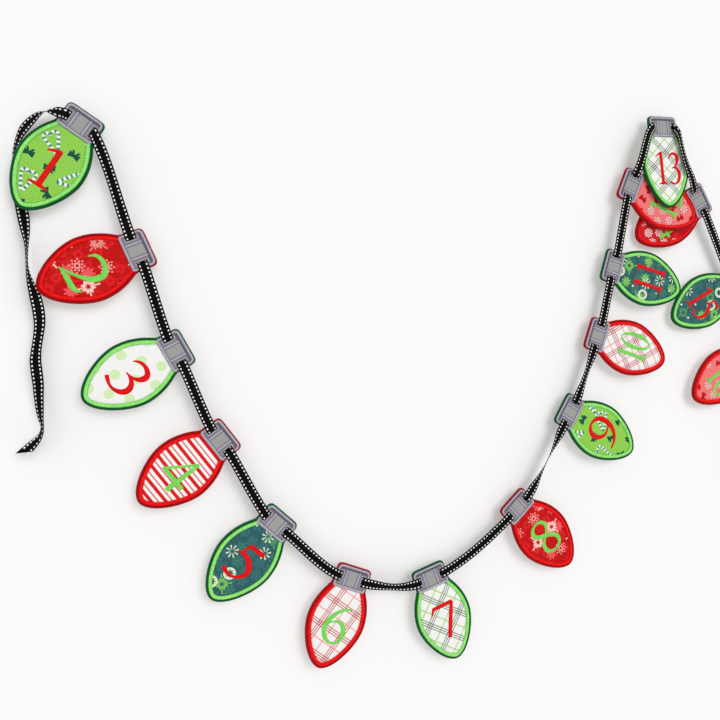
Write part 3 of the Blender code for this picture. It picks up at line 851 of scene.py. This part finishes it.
class Value:
    """A shader socket that takes part in sums."""

    def __init__(self, paint, socket):
        self.paint, self.socket = paint, socket

    __add__, __radd__ = worked_out("ADD"), worked_out("ADD", True)
    __sub__, __rsub__ = worked_out("SUBTRACT"), worked_out("SUBTRACT", True)
    __mul__, __rmul__ = worked_out("MULTIPLY"), worked_out("MULTIPLY", True)
    __truediv__, __rtruediv__ = worked_out("DIVIDE"), worked_out("DIVIDE", True)
    __mod__ = worked_out("FLOORED_MODULO")
    __abs__ = worked_out("ABSOLUTE")
    either = worked_out("MAXIMUM")
    both = worked_out("MINIMUM")
    root = worked_out("SQRT")
    floor = worked_out("FLOOR")
    sine = worked_out("SINE")
    cosine = worked_out("COSINE")
    angle_from = worked_out("ARCTAN2")
    wrapped = worked_out("WRAP")

    def clamped(self):
        return self.paint.math("ADD", self, 0.0, clamp=True)

    def under(self, edge, soft=0.15):
        """1 where the value is less than the edge, and 0 beyond it."""
        return ((edge - self) / soft + 0.5).clamped()

    def below(self, share):
        """1 for the motifs whose random number is below a share."""
        return self.under(share, 0.01)

    def above(self, share):
        return (share - self).below(0.0)


class Paint:
    """One material and its nodes. Coordinates are in millimetres."""

    def __init__(self, name, roughness, shine=0.15):
        self.material = bpy.data.materials.new(name)
        self.material.use_nodes = True
        self.tree = self.material.node_tree
        self.shader = self.tree.nodes["Principled BSDF"]
        self.set("Roughness", roughness)
        self.set("Metallic", 0.0)
        self.set("Specular IOR Level", shine)

    def node(self, kind, settings=None, inputs=None):
        made = self.tree.nodes.new(kind)
        for key, value in (settings or {}).items():
            setattr(made, key, value)
        for key, value in (inputs or {}).items():
            self.plug(made.inputs[key], value)
        return made

    def plug(self, socket, value):
        if isinstance(value, Value):
            self.tree.links.new(value.socket, socket)
        elif isinstance(value, bpy.types.NodeSocket):
            self.tree.links.new(value, socket)
        elif isinstance(value, tuple) and socket.type == "RGBA":
            socket.default_value = (*value, 1)
        else:
            socket.default_value = value

    def set(self, name, value):
        self.plug(self.shader.inputs[name], value)

    def math(self, kind, *values, clamp=False):
        made = self.node("ShaderNodeMath", {"operation": kind, "use_clamp": clamp}, dict(enumerate(values)))
        return Value(self, made.outputs[0])

    def mix(self, share, first, second, kind="MIX"):
        """Two colours mixed by a share."""
        settings = {"data_type": "RGBA", "blend_type": kind}
        return self.node("ShaderNodeMix", settings, {0: share, 6: first, 7: second}).outputs[2]

    def split(self, vector, scale=1000.0):
        made = self.node("ShaderNodeSeparateXYZ", inputs={0: vector})
        return [Value(self, made.outputs[i]) * scale for i in range(3)]

    def joined(self, x, y, z):
        return self.node("ShaderNodeCombineXYZ", inputs={0: x, 1: y, 2: z}).outputs[0]

    def place(self):
        """Across and down in the bulb's own frame."""
        x, _, z = self.split(self.node("ShaderNodeTexCoord").outputs["Object"])
        return x, z * -1.0

    def thread(self):
        """Distances along and across a band of threads."""
        return self.split(self.node("ShaderNodeTexCoord").outputs["UV"])[:2]

    def dice(self, settings, inputs):
        """Random numbers that are the same all over a cell."""
        made = self.node("ShaderNodeTexWhiteNoise", settings, inputs)
        return Value(self, made.outputs["Value"]), made.outputs["Color"]

    def cloud(self, x, y, size, seed):
        """Soft random variation from 0 to 1 with patches of about this size."""
        inputs = {"Vector": self.joined(x / size, y / size, seed), "Scale": 1.0, "Detail": 2.0}
        return Value(self, self.node("ShaderNodeTexNoise", inputs=inputs).outputs["Fac"])

    def dye(self, colour, tone):
        """Gives the material its colour, lighter or darker by a tone."""
        self.set("Base Color", self.mix(1.0, colour, self.joined(tone, tone, tone), "MULTIPLY"))

    def bump(self, height, distance, strength):
        inputs = {"Height": height, "Distance": distance, "Strength": strength}
        self.set("Normal", self.node("ShaderNodeBump", inputs=inputs).outputs[0])


# Motifs: each gives 1 inside its shape. x and y run from its middle, y down


def turned(x, y, degrees):
    """Coordinates turned by a fixed angle."""
    c, s = math.cos(math.radians(degrees)), math.sin(math.radians(degrees))
    return x * c + y * s, y * c - x * s


def distance(x, y):
    return (x * x + y * y).root()


def scatter(x, y, pitch, seed, loose):
    """Coordinates about the middle of each motif in a loose brick layout, and a random number."""
    paint = x.paint
    row = (y / pitch).floor()
    shift = (row % 2.0) * 0.5
    column = (x / pitch + shift).floor()
    chance, colour = paint.dice({"noise_dimensions": "3D"}, {"Vector": paint.joined(column, row, seed)})
    red, green, blue = paint.split(colour, 1.0)
    across = x - (column + 0.5 - shift + (red - 0.5) * loose) * pitch
    down = y - (row + 0.5 + (green - 0.5) * loose) * pitch
    angle = (blue - 0.5) * math.tau
    c, s = angle.cosine(), angle.sine()
    return across * c + down * s, down * c - across * s, chance


def folded(x, y, arms=8):
    """Distances out along the nearest arm of a star, off its side and from the middle."""
    reach = distance(x, y)
    near = y.angle_from(x).wrapped(math.pi / arms, -math.pi / arms)
    return reach * near.cosine(), abs(reach * near.sine()), reach


def snowflake(x, y, radius):
    """Six arms with two pairs of barbs each, and a small hexagon round the middle."""
    thick = 0.6
    out, side, reach = folded(x, y, 6)
    shape = side.under(thick).both(reach.under(radius))
    for share, length in ((0.45, 0.3), (0.72, 0.22)):
        lean = (out - radius * share) * 0.78 - side * 0.62
        barb = abs(lean).under(thick * 0.9).both(side.under(radius * length))
        shape = shape.either(barb.both(reach.under(radius)))
    return shape.either(abs(out - radius * 0.22).under(thick * 0.7).both(reach.under(radius * 0.35)))


def star(x, y, radius, hollow=0.55):
    """Eight points."""
    out, side, reach = folded(x, y)
    share = side / (out + 0.001) / math.tan(math.pi / 8)
    return (reach / (1.0 - share * hollow)).under(radius)


def squares(x, y, radius, arms, rings):
    """Rings of small squares, each given as shares of the radius: its place and a square's half."""
    out, side, _ = folded(x, y, arms)
    shapes = [(abs(out - radius * place) + side).under(radius * half) for place, half in rings]
    for shape in shapes[1:]:
        shapes[0] = shapes[0].either(shape)
    return shapes[0]


def petals(x, y, radius):
    """Eight pointed petals, and four arms of small squares beyond them."""
    out, side, _ = folded(x, y)
    shape = (abs(out - radius * 0.42) + side * 1.35).under(radius * 0.27)
    arms = squares(*turned(x, y, 22.5), radius, 4, ((0.64, 0.115), (0.82, 0.115), (1.0, 0.115)))
    return shape.either(arms)


def rosette(x, y, radius):
    """Three rings of small squares."""
    rings = squares(x, y, radius, 8, ((0.32, 0.15), (0.92, 0.14)))
    return rings.either(squares(*turned(x, y, 22.5), radius, 8, ((0.63, 0.16),)))


def burst(x, y, radius):
    """Drops that spread from the middle."""
    out, side, reach = folded(x, y)
    return (side - out * 0.13).under(0.0).both(reach.under(radius)).both((radius * 0.3 - reach).under(0.0))


def medallion(x, y, radius):
    """A disc with a star cut out of it."""
    return distance(x, y).under(radius).both(1.0 - star(x, y, radius * 0.74, 0.5))


def bow(x, y, size):
    """Two flared loops, a knot and two tails."""
    wide, tall = abs(x), abs(y)
    loops = (tall - wide * 0.34 - size * 0.26).under(0.0).both(wide.under(size))
    tails = abs(wide - y * 0.55 - size * 0.08).under(size * 0.22).both(y.under(size * 0.95))
    return loops.either(tails.both((y * -1.0).under(0.0)))


def stick(x, y, start, end, thick):
    """A straight bar: its shape, and the distance along it."""
    reach = math.dist(start, end)
    dx, dy = (end[0] - start[0]) / reach, (end[1] - start[1]) / reach
    along = (x - start[0]) * dx + (y - start[1]) * dy
    off = abs((x - start[0]) * dy - (y - start[1]) * dx)
    return off.under(thick).both(along.under(reach)).both((along * -1.0).under(0.0)), along


def canes(x, y, size):
    """Two hooked sticks that meet at the top, with the hooks turned in: shape and stripes."""
    wide, thick, bend = abs(x), size * 0.115, size * 0.24
    end = (size * 0.52, size * 0.45)
    stem, along = stick(wide, y, (size * 0.02, size * -0.95), end, thick)
    hx, hy = wide - (end[0] - bend), y - end[1]
    arc = hy.angle_from(hx) * bend + size * 1.49
    hook = abs(distance(hx, hy) - bend).under(thick).both((hy * -1.0).under(0.0))
    length = along.both(size * 1.49).either(arc * hook)
    return stem.either(hook), ((length / (size * 0.34)) % 1.0).under(0.45, 0.2)


# Prints: x and y are moved on for each bulb, and across and down stay in its own frame

WHITE_CLOTH = rgb(246, 246, 244)


def speckled(paint, x, y, high, low, edge=0.45, soft=0.1):
    """Two colours in fine specks."""
    return paint.mix(paint.cloud(x, y, 0.9, 1.0).under(edge, soft), high, low)


def canes_print(paint, x, y, *_):
    colour = speckled(paint, x, y, rgb(160, 220, 98), rgb(128, 198, 62), 0.5, 0.25)
    mx, my, chance = scatter(x, y, 19.5, 1.0, 0.06)
    bows = chance.below(0.4)
    colour = paint.mix(bow(mx, my, 4.7).both(bows), colour, rgb(24, 84, 70))
    shape, stripes = canes(mx, my, 11.8)
    candy = paint.mix(stripes, rgb(240, 247, 238), rgb(62, 132, 118))
    return paint.mix(shape.both(1.0 - bows), colour, candy)


def flakes_print(paint, x, y, *_):
    mx, my, chance = scatter(x, y, 12.0, 3.0, 0.3)
    tone = paint.mix(chance.below(0.45), rgb(226, 30, 36), rgb(216, 36, 40))
    colour = paint.mix(petals(mx, my, 7.0).both(chance.below(0.85)), rgb(196, 14, 14), tone)
    mx, my, chance = scatter(x + 5.0, y + 3.0, 17.0, 8.0, 0.3)
    colour = paint.mix(star(mx, my, 6.4).both(chance.below(0.3)), colour, rgb(242, 88, 92))
    mx, my, chance = scatter(x + 9.0, y + 4.0, 22.0, 5.0, 0.2)
    colour = paint.mix(petals(mx, my, 9.2).both(chance.below(0.42)), colour, rgb(255, 206, 196))
    small = rosette(mx, my, 6.4).both(chance.above(0.42)).both(chance.below(0.85))
    return paint.mix(small, colour, rgb(255, 178, 168))


def frost_print(paint, x, y, *_):
    mx, my, chance = scatter(x, y, 11.5, 3.0, 0.3)
    tone = paint.mix(chance.below(0.5), rgb(62, 124, 108), rgb(58, 112, 112))
    colour = paint.mix(snowflake(mx, my, 5.4).both(chance.below(0.85)), rgb(46, 96, 100), tone)
    mx, my, chance = scatter(x + 4.0, y + 7.0, 19.0, 8.0, 0.25)
    green = paint.mix(chance.below(0.2), rgb(126, 196, 92), rgb(88, 152, 98))
    colour = paint.mix(petals(mx, my, 8.6).both(chance.below(0.4)), colour, green)
    colour = paint.mix(star(mx, my, 6.0).both(chance.above(0.76)), colour, green)
    mx, my, chance = scatter(x + 9.0, y, 16.0, 5.0, 0.25)
    pale = burst(mx, my, 5.8).both(chance.below(0.24))
    pale = pale.either(medallion(mx, my, 5.6).both(chance.above(0.86)))
    square = (abs(mx) + abs(my)).under(1.5).both(abs(chance - 0.45).below(0.1))
    return paint.mix(pale.either(square), colour, rgb(224, 238, 204))


def dots_print(paint, x, y, across, down):
    row = ((down - 10.2) / 12.3).floor()
    shift = (row % 2.0) * 12.2
    dx = (across - 18.0 + shift) % 24.4 - 12.2
    dy = (down - 10.2) % 12.3 - 6.15
    return paint.mix(distance(dx, dy).under(4.4), WHITE_CLOTH, rgb(214, 240, 184))


def stripes_print(paint, x, y, across, down):
    place = (down - 0.1) % 9.5
    wide, thin = abs(place - 2.0).under(1.5), abs(place - 6.9).under(0.5)
    return paint.mix(wide.either(thin), WHITE_CLOTH, rgb(224, 14, 18))


def plaid(move, degrees, period, main, fine, single):
    """Lines woven both ways: two about a finer one, and one half-way to the next group."""
    lines = ((-2.1, 0.45, main, 0.9), (2.1, 0.45, main, 0.9), (0, 0.4, fine, 0.9), (12.2, 0.6, single, 0.75))

    def plaid_print(paint, x, y, across, down):
        colour = WHITE_CLOTH
        for way in turned(across + move[0], down + move[1], degrees):
            for place, half, dye, strength in lines:
                near = (way - place + period / 2) % period - period / 2
                colour = paint.mix(abs(near).under(half) * strength, colour, dye)
        return colour

    return plaid_print


def candies(high, low):
    """Peppermint swirls and bows on a speckled ground."""

    def candies_print(paint, x, y, *_):
        mx, my, chance = scatter(x, y, 12.5, 3.0, 0.2)
        reach = distance(mx, my)
        swirl = ((my.angle_from(mx) * (9.0 / math.tau) + reach * 0.28) % 1.0).under(0.45, 0.12)
        sweet = chance.below(0.58)
        colour = paint.mix(reach.under(5.2).both(sweet), speckled(paint, x, y, high, low), rgb(216, 22, 30))
        colour = paint.mix(swirl.both(reach.under(4.9)).both(sweet), colour, rgb(252, 240, 236))
        shown = (1.0 - sweet).both(chance.below(0.9))
        return paint.mix(bow(mx, my, 4.4).both(shown), colour, rgb(192, 12, 24))

    return candies_print


PATTERNS = {
    "canes": canes_print,
    "flakes": flakes_print,
    "dots": dots_print,
    "stripes": stripes_print,
    "tartan": plaid((0, 0), 17, 24.5, rgb(222, 8, 30), rgb(150, 6, 20), rgb(246, 140, 144)),
    "lattice": plaid((0, 4.0), 45, 22.5, rgb(72, 122, 66), rgb(34, 74, 40), rgb(146, 206, 52)),
    "net": plaid((5.0, 0), 45, 21.0, rgb(222, 44, 70), rgb(126, 34, 52), rgb(246, 140, 146)),
    "frost": frost_print,
    "sweets": candies(rgb(250, 132, 132), rgb(240, 92, 98)),
    "roses": candies(rgb(216, 36, 40), rgb(196, 22, 28)),
}


# Cloths and threads


def weave(paint, x, y):
    """The fine plain weave of quilting cotton: a tone that lightens and darkens the colour, as painted shade
    with the threads' relief and as random mottling.
    """
    threads = (x * 16.0).sine() * (y * 16.0).sine()
    paint.bump(threads + paint.cloud(x, y, 0.6, 5.0) * 0.8, 0.00003, 0.5)
    # The threads' term is painted shade; the cloud is the cloth's random mottling
    return threads * 0.035 + paint.cloud(x, y, 3.0, 2.0) * 0.09 + 0.93


def cotton(name, pattern):
    """Printed quilting cotton, with painted shade along the inside of the border, where the face creases."""
    paint = Paint(name, 0.85)
    x, y = paint.place()
    number = Value(paint, paint.node("ShaderNodeObjectInfo").outputs["Object Index"])
    colour = pattern(paint, x + (number * 37.7) % 97.0, y + (number * 23.3) % 89.0, x, y)
    # Painted shade: up to a quarter darker within about 6 mm of the outline, beside the border
    crease_shade = paint.thread()[0].under(6.1, 1.5)
    paint.dye(colour, weave(paint, x, y) * (1.0 - crease_shade * 0.25))
    return paint.material


def plain_cotton(name, colour):
    """Undyed cotton with no print."""
    paint = Paint(name, 0.88)
    paint.dye(colour, weave(paint, *paint.place()))
    return paint.material


def cap_cotton():
    """Grey cotton, with painted shade where it sinks between the rows of stitching."""
    paint = Paint("grey cap cotton", 0.85)
    x, y = paint.place()
    panel = abs(x).under(4.3, 0.5).both(abs(y - 0.1).under(7.0, 0.5))
    # Painted shade outside the middle panel, darkest in the strip below the cap's top bar
    sunk = paint.mix((y + 6.7).under(0.0, 0.6), rgb(134, 129, 140), rgb(100, 93, 108))
    paint.dye(paint.mix(panel, sunk, rgb(160, 161, 158)), weave(paint, x, y))
    return paint.material


THREAD_PITCH = 0.42
THREAD_SLANT = 0.25


def satin(name, colour, crest=0.0, shade_depth=0.42):
    """Glossy embroidery threads side by side, with painted shade between them, painted glints and painted
    sheen. Given a crest, a band has a painted highlight on its crest and darkens in painted shade down to
    its sides.
    """
    paint = Paint(name, 0.42, 0.12)
    along, across = paint.thread()
    place = along + across * THREAD_SLANT
    drift_and_glints = paint.cloud(along, across, 1.7, 3.0)
    ridge = ((place / THREAD_PITCH + drift_and_glints * 0.6) * math.tau).sine()
    each, _ = paint.dice({"noise_dimensions": "1D"}, {"W": (place / THREAD_PITCH).floor()})
    # Painted light in the tone: shade between the threads, glints in the small patches (which also make the
    # threads uneven), and sheen in the broad patches; each thread's own tone is random
    tone = ridge * 0.07 + each * 0.1 + drift_and_glints * 0.7 + paint.cloud(along, across, 13.0, 8.0) * 0.4 + 0.35
    if crest:
        # Painted highlight on the crest and painted shade down to the band's sides
        side_shade = (abs(across) / crest).both(1.0)
        tone = tone * (1.1 - side_shade * side_shade * side_shade * shade_depth)
    paint.dye(colour, tone)
    paint.set("Roughness", 0.36 + each * 0.12)
    paint.bump(ridge + each * 0.5, 0.00006, 0.6)
    return paint.material


def grosgrain():
    """Black ribbon with fine ribs across it and a firm edge."""
    paint = Paint("black grosgrain", 0.62, 0.05)
    along, across = paint.thread()
    ribs = (along * (math.tau / 0.55)).sine()
    wear = paint.cloud(along, across, 2.0, 1.0)
    # The ribs lighten and darken the black as painted shade between them; the other patches are random
    paint.dye(rgb(11, 11, 12), ribs * 0.25 + wear * 0.5 + 0.7)
    paint.set("Roughness", 0.55 + wear * 0.2)
    paint.bump(ribs * abs(across).under(4.45, 0.1), 0.00005, 0.7)
    return paint.material


def saddle_thread():
    """White stitches of soft twisted thread."""
    paint = Paint("white saddle thread", 0.6)
    along, across = paint.thread()
    twist = ((along + across * 0.9) * (math.tau / 0.5)).sine()
    # The twist lightens and darkens the white as painted shade in its grooves
    paint.dye(rgb(252, 251, 249), twist * 0.04 + 0.96)
    paint.bump(twist, 0.00004, 0.5)
    return paint.material


def all_paints():
    paints = {name: cotton(f"{name} print", pattern) for name, pattern in PATTERNS.items()}
    paints.update(
        backing=plain_cotton("backing cotton", rgb(240, 239, 235)),
        cap=cap_cotton(),
        cap_satin=satin("cap satin", rgb(176, 173, 187), 1.15, 0.8),
        slit_satin=satin("slit stitching", rgb(176, 173, 178), 0.45),
        dark_green=satin("dark green satin", rgb(0, 87, 40)),
        dark_red=satin("dark red satin", rgb(164, 3, 6)),
        bright_green=satin("bright green satin", rgb(145, 233, 116), 1.8),
        bright_red=satin("bright red satin", rgb(240, 3, 8), 1.8),
        green_numeral=satin("green numeral thread", rgb(118, 218, 88), 2.4),
        red_numeral=satin("red numeral thread", rgb(226, 2, 8), 2.4),
        ribbon=grosgrain(),
        saddle=saddle_thread(),
    )
    return paints


# Putting it together


def place_piece(name, mesh, number, paints):
    """A piece of one bulb, on a mesh that the bulbs may share, moving with that bulb."""
    piece = add_object(name, mesh)
    while len(mesh.materials) < len(paints):
        mesh.materials.append(None)
    for slot, paint in zip(piece.material_slots, paints):
        slot.link = "OBJECT"
        slot.material = paint
    piece.matrix_world = PLACES[number]
    piece.pass_index = number
    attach(piece, f"hanging_bulb_{number:02d}")
    return piece


def make_bulbs(paints):
    pad, edge, border = pad_mesh(), edge_mesh(), border_mesh()
    fabric, stitching = cap_fabric_mesh(), cap_satin_mesh()
    for number, face in enumerate(PRINTS, 1):
        tag = f"{number:02d}"
        dark, bright, figure = "dark_red", "bright_red", "green_numeral"
        if number % 2:
            dark, bright, figure = "dark_green", "bright_green", "red_numeral"
        piece = place_piece(f"bulb_{tag}_pad", pad, number, [paints[face], paints["backing"]])
        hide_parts(f"bulb_{tag}")
        place_piece(f"bulb_{tag}_edge", edge, number, [paints[dark]])
        place_piece(f"bulb_{tag}_border", border, number, [paints[bright]])
        place_piece(f"bulb_{tag}_numeral", numeral_mesh(number), number, [paints[figure]])
        cap = place_piece(f"cap_{tag}_fabric", fabric, number, [paints["cap"]])
        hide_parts(f"cap_{tag}")
        place_piece(f"cap_{tag}_stitching", stitching, number, [paints["cap_satin"], paints["slit_satin"]])


def make_ribbon(paints):
    hands = {-1: "left", 1: "right"}
    tails = {side: tail_strip(side) for side in hands}
    for (number, side), sections in ribbon_halves(tails).items():
        piece = ribbon_piece(f"ribbon_{number:02d}_{hands[side]}", sections, paints)
        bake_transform(piece)
        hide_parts("ribbon")
    for side, strip in tails.items():
        sections = tail_part(strip, TAIL_STUB, strip.lengths[-1])
        piece = ribbon_piece(f"ribbon_tail_{hands[side]}_end", sections, paints, cut=TAIL_CUT)
        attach(piece, "ribbon_line")
        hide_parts(f"ribbon_tail_{hands[side]}")


def make_room():
    """A white wall that sweeps into a pale floor. The camera sees through it from behind."""
    bm = bmesh.new()
    line = [(WALL_BEHIND, WALL_TOP)]
    for i in range(SWEEP_STEPS + 1):
        angle = math.pi / 2 * i / SWEEP_STEPS
        out, up = SWEEP * (1 - math.cos(angle)), SWEEP * (1 - math.sin(angle))
        line.append((WALL_BEHIND - out, up - FLOOR_DROP))
    line.append((FLOOR_FRONT, -FLOOR_DROP))
    rows = [[bm.verts.new((x, y, z)) for y, z in line] for x in (-ROOM_HALF, ROOM_HALF)]
    for i in range(len(line) - 1):
        bm.faces.new((rows[0][i], rows[0][i + 1], rows[1][i + 1], rows[1][i]))
    mesh = bpy.data.meshes.new("wall_and_floor")
    bm.normal_update()
    bm.to_mesh(mesh)
    bm.free()
    mesh.shade_smooth()
    room = add_object("wall_and_floor", mesh)
    paint = Paint("white wall", 0.95)
    paint.set("Base Color", rgb(250, 250, 250))
    geometry = paint.node("ShaderNodeNewGeometry")
    ray = paint.node("ShaderNodeLightPath")
    hidden = Value(paint, geometry.outputs["Backfacing"]) * Value(paint, ray.outputs["Is Camera Ray"])
    paint.set("Alpha", 1.0 - hidden)
    mesh.materials.append(paint.material)
    room.visible_shadow = False
    room.visible_diffuse = False


def make_light():
    """Soft light from all round, white where the camera sees it, and one wide lamp."""
    world = bpy.data.worlds.new("soft white")
    world.use_nodes = True
    tree = world.node_tree
    ground = tree.nodes["Background"]
    ground.inputs["Color"].default_value = (1, 0.987, 0.98, 1)
    path = tree.nodes.new("ShaderNodeLightPath")
    strength = tree.nodes.new("ShaderNodeMix")
    strength.inputs[2].default_value = WORLD_STRENGTH
    strength.inputs[3].default_value = 1.0
    tree.links.new(path.outputs["Is Camera Ray"], strength.inputs[0])
    tree.links.new(strength.outputs[0], ground.inputs["Strength"])
    bpy.context.scene.world = world
    data = bpy.data.lights.new("window", "SUN")
    data.energy = SUN_ENERGY
    data.angle = math.radians(SUN_ANGLE_DEG)
    data.color = (0.985, 0.99, 1)
    sun = add_object("window", data)
    sun.rotation_euler = Vector(SUN_WAY).to_track_quat("-Z", "Y").to_euler()


def make_camera():
    data = bpy.data.cameras.new("camera")
    data.lens = CAMERA_LENS
    data.sensor_width = CAMERA_SENSOR
    right = Vector(CAMERA_RIGHT).normalized()
    up = Vector(CAMERA_UP)
    up = (up - right * up.dot(right)).normalized()
    axes = Matrix((right, up, right.cross(up))).transposed().to_4x4()
    camera = add_object("camera", data)
    camera.matrix_world = Matrix.Translation(CAMERA_SPOT) @ axes
    bpy.context.scene.camera = camera


def main():
    make_camera()
    paints = all_paints()
    make_ribbon(paints)
    make_bulbs(paints)
    make_room()
    make_light()
    bpy.context.scene.view_settings.view_transform = "Standard"
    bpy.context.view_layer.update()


main()
